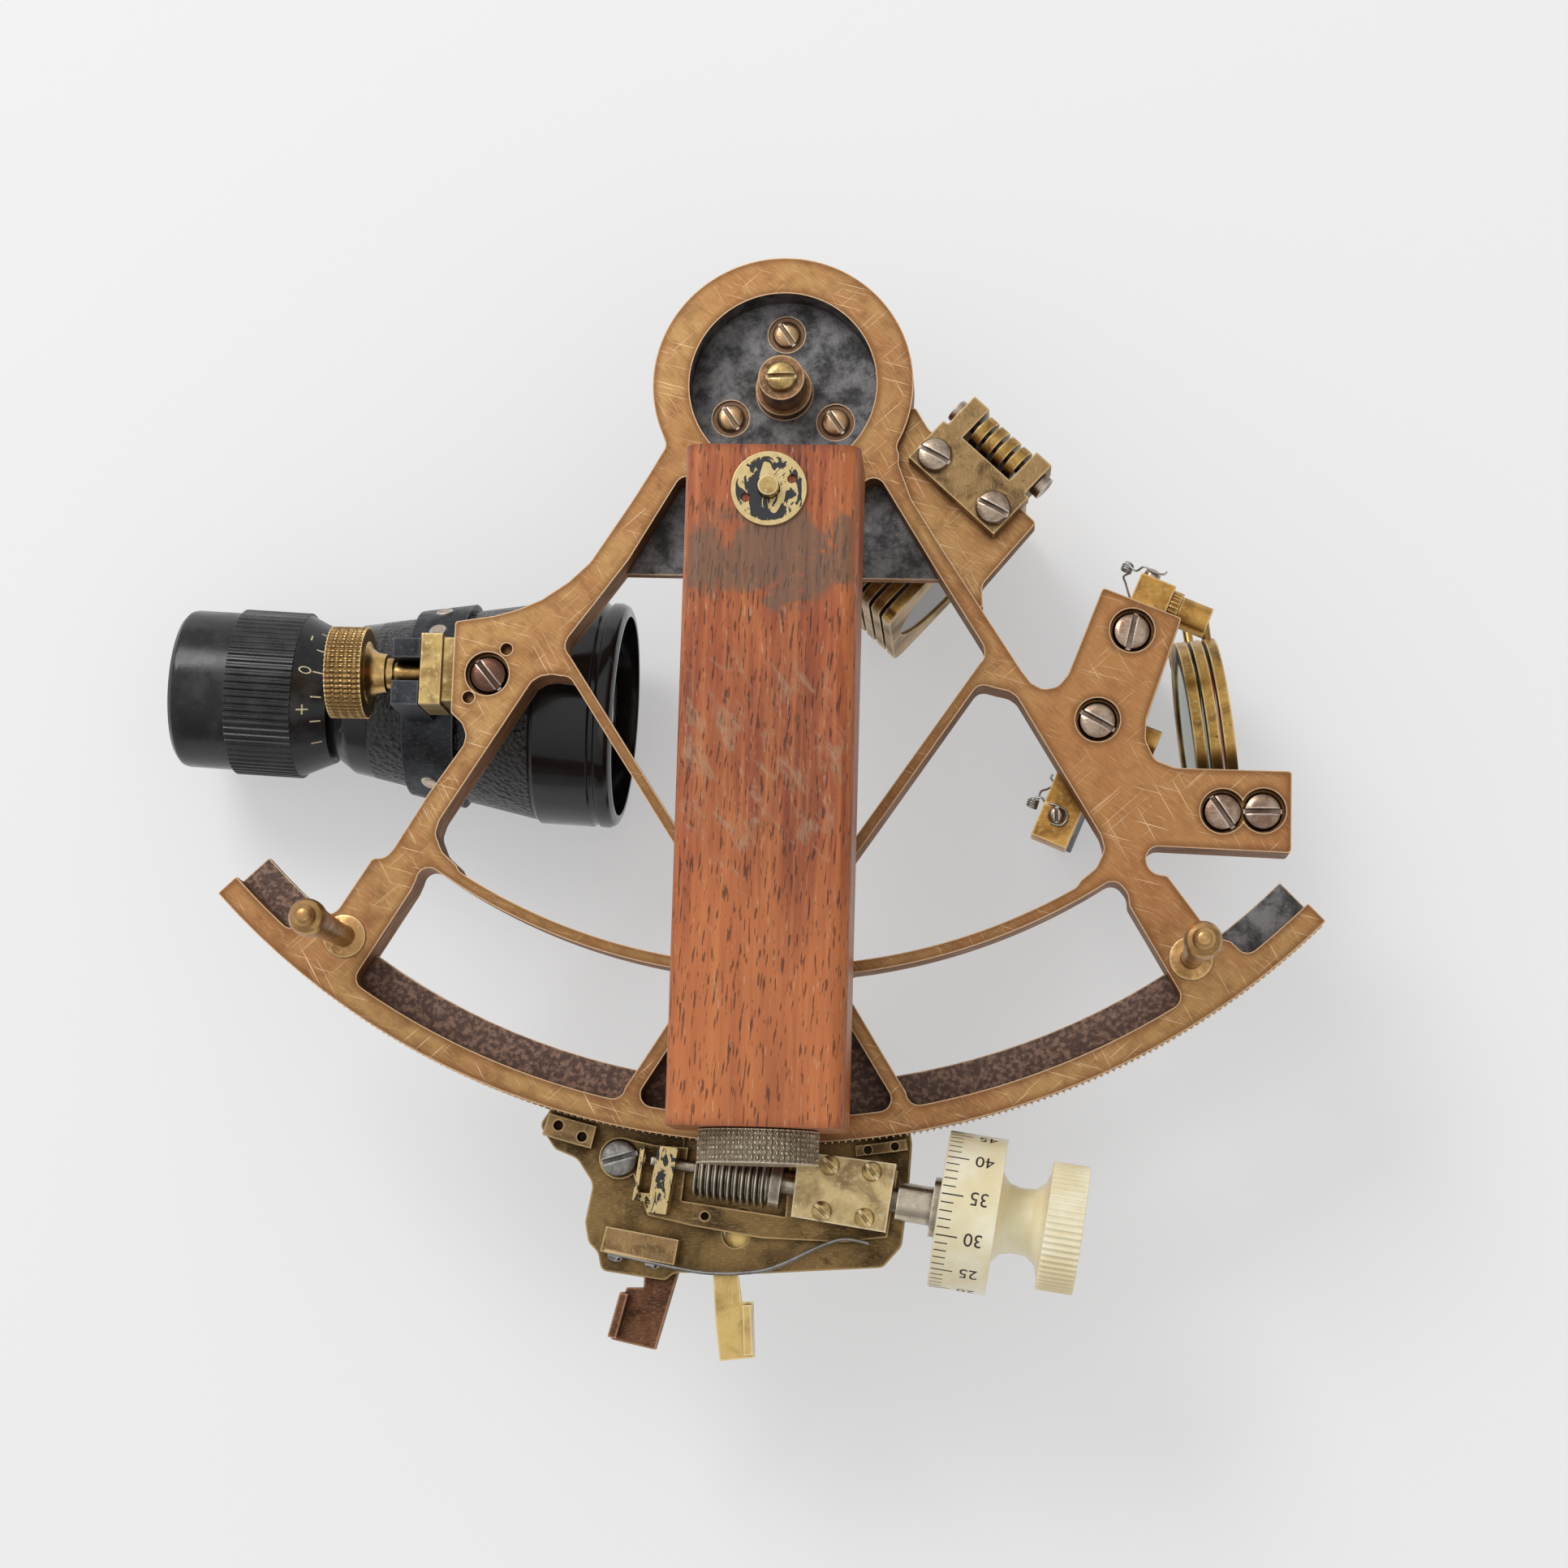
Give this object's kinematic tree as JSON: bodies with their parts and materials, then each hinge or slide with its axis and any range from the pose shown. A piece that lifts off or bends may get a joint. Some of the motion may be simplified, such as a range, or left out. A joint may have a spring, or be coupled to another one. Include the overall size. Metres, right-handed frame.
{
  "type": "sextant",
  "caption": "Navigator's micrometer sextant: a pierced arc frame with handle, swinging index arm with drum and worm, two mirrors, tinted shades and a clamped telescope.",
  "frame": {"origin": "the index pivot's axis at the frame's back face, the face the handle is on", "axes": "+Z along the pivot toward the handle; -Y from the pivot to the middle of the arc; +X toward the horizon mirror's side"},
  "size_m": [0.2542, 0.2357, 0.1088],
  "materials": {
    "bronze_casting": "brushed and worn",
    "scale_silver": "satin",
    "tarnished_nickel": "tarnished",
    "brass": "satin",
    "copper": "worn",
    "steel": "polished",
    "blackened_steel": "blackened",
    "black_lacquer": "gloss",
    "black_plastic": "ribbed",
    "ivory_plastic": "aged",
    "hardwood": "oiled",
    "cell_can": "plain",
    "silvered_glass": "silvered",
    "clear_glass": "clear",
    "green_glass": "tinted",
    "amber_glass": "tinted",
    "red_glass": "tinted",
    "grey_glass": "tinted"
  },
  "bodies": {
    "frame": {"frame_casting": "bronze_casting", "arc_scale": "scale_silver", "pivot_bearing": "tarnished_nickel", "slotted_screws": "tarnished_nickel", "handle_grip": "hardwood", "switch_disc": "brass", "battery_cells": "cell_can", "rear_legs": "bronze_casting", "lug_screws": "copper", "horizon_mirror_base": "brass", "horizon_mirror_frame": "blackened_steel", "horizon_mirror_glass": "silvered_glass", "horizon_adjusters": "brass", "mirror_springs": "steel", "index_shade_bracket": "brass", "shade_pins": "tarnished_nickel", "horizon_shade_bracket": "blackened_steel", "clamp_block": "brass"},
    "arm": {"index_arm": "bronze_casting", "pivot_arbor": "tarnished_nickel", "pivot_cap_screw": "brass", "guide_shoes": "bronze_casting", "index_mirror_frame": "blackened_steel", "index_mirror_glass": "silvered_glass", "arm_screws": "tarnished_nickel", "spring_block": "brass", "fixed_lever": "copper", "magnifier_post": "brass"},
    "carrier": {"worm_carrier": "bronze_casting", "end_block": "blackened_steel", "bearing_housing": "brass", "housing_screws": "tarnished_nickel", "leaf_spring": "steel", "release_lever": "brass"},
    "worm": {"worm_shaft": "steel", "drum": "ivory_plastic"},
    "magnifier": {"magnifier_arm": "black_lacquer", "magnifier_lens": "clear_glass"},
    "button": {"push_button": "brass"},
    "cap": {"battery_cap": "tarnished_nickel"},
    "clamp": {"clamp_screw": "brass"},
    "telescope": {"telescope_band": "blackened_steel", "telescope_tube": "black_lacquer", "objective_lens": "clear_glass"},
    "eyepiece": {"focus_ring": "black_plastic", "eyepiece_lens": "clear_glass"},
    "index_filter_1": {"index_shade_1": "brass", "index_glass_1": "green_glass"},
    "index_filter_2": {"index_shade_2": "brass", "index_glass_2": "amber_glass"},
    "index_filter_3": {"index_shade_3": "brass", "index_glass_3": "red_glass"},
    "index_filter_4": {"index_shade_4": "brass", "index_glass_4": "grey_glass"},
    "horizon_filter_1": {"horizon_shade_1": "brass", "horizon_glass_1": "green_glass"},
    "horizon_filter_2": {"horizon_shade_2": "brass", "horizon_glass_2": "amber_glass"},
    "horizon_filter_3": {"horizon_shade_3": "brass", "horizon_glass_3": "red_glass"}
  },
  "joints": [
    {"name": "drum_spin", "type": "hinge", "parent": "carrier", "child": "worm", "pos_m": [0.01773, -0.17178, -0.005], "axis": [0.9914, -0.1305, 0], "range_deg": [-20880, 20160]},
    {"name": "index_arm_swing", "type": "hinge", "parent": "frame", "child": "arm", "pos_m": [0, 0, 0], "axis": [0, 0, 1], "range_deg": [-29.01, 28.01]},
    {"name": "carrier_release", "type": "hinge", "parent": "arm", "child": "carrier", "pos_m": [-0.02945, -0.16616, -0.0097], "axis": [0, 0, -1], "range_deg": [0, 4.5], "stiffness_Nm_per_rad": 2, "springref_deg": -2.86},
    {"name": "magnifier_swivel", "type": "hinge", "parent": "arm", "child": "magnifier", "pos_m": [-0.00547, -0.11187, -0.059], "axis": [0, 0, 1], "range_deg": [-40, 40]},
    {"name": "button_press", "type": "slide", "parent": "frame", "child": "button", "axis": [0, 0, -1], "range_m": [0, 0.0015], "stiffness_N_per_m": 150, "springref_m": -0.001},
    {"name": "battery_cap_turn", "type": "hinge", "parent": "frame", "child": "cap", "pos_m": [0.00198, -0.1636, 0.024], "axis": [0.0052, -1, 0], "range_deg": [-90, 0]},
    {"name": "clamp_screw_turn", "type": "hinge", "parent": "frame", "child": "clamp", "pos_m": [-0.092, -0.0638, -0.007], "axis": [1, 0, 0], "range_deg": [-720, 0]},
    {"name": "telescope_lift", "type": "slide", "parent": "frame", "child": "telescope", "axis": [0, 0, -1], "range_m": [0, 0.03]},
    {"name": "focus_turn", "type": "hinge", "parent": "telescope", "child": "eyepiece", "pos_m": [-0.1349, -0.0617, -0.042], "axis": [0.9991, -0.0431, 0], "range_deg": [-170, 170]},
    {"name": "index_filter_1_swing", "type": "hinge", "parent": "frame", "child": "index_filter_1", "pos_m": [0.03852, -0.00531, -0.0035], "axis": [0.7443, -0.6678, 0], "range_deg": [0, 100]},
    {"name": "index_filter_2_swing", "type": "hinge", "parent": "frame", "child": "index_filter_2", "pos_m": [0.03852, -0.00531, -0.0035], "axis": [0.7443, -0.6678, 0], "range_deg": [0, 100]},
    {"name": "index_filter_3_swing", "type": "hinge", "parent": "frame", "child": "index_filter_3", "pos_m": [0.03852, -0.00531, -0.0035], "axis": [0.7443, -0.6678, 0], "range_deg": [0, 100]},
    {"name": "index_filter_4_swing", "type": "hinge", "parent": "frame", "child": "index_filter_4", "pos_m": [0.03852, -0.00531, -0.0035], "axis": [0.7443, -0.6678, 0], "range_deg": [0, 100]},
    {"name": "horizon_filter_1_swing", "type": "hinge", "parent": "frame", "child": "horizon_filter_1", "pos_m": [0.0974, -0.091, -0.0174], "axis": [-0.989, -0.1478, 0], "range_deg": [0, 95]},
    {"name": "horizon_filter_2_swing", "type": "hinge", "parent": "frame", "child": "horizon_filter_2", "pos_m": [0.0974, -0.091, -0.0174], "axis": [-0.989, -0.1478, 0], "range_deg": [0, 95]},
    {"name": "horizon_filter_3_swing", "type": "hinge", "parent": "frame", "child": "horizon_filter_3", "pos_m": [0.0974, -0.091, -0.0174], "axis": [-0.989, -0.1478, 0], "range_deg": [0, 95]}
  ],
  "couplings": [
    {"joint": "index_arm_swing", "follows": "drum_spin", "ratio": 0.0013889}
  ]
}
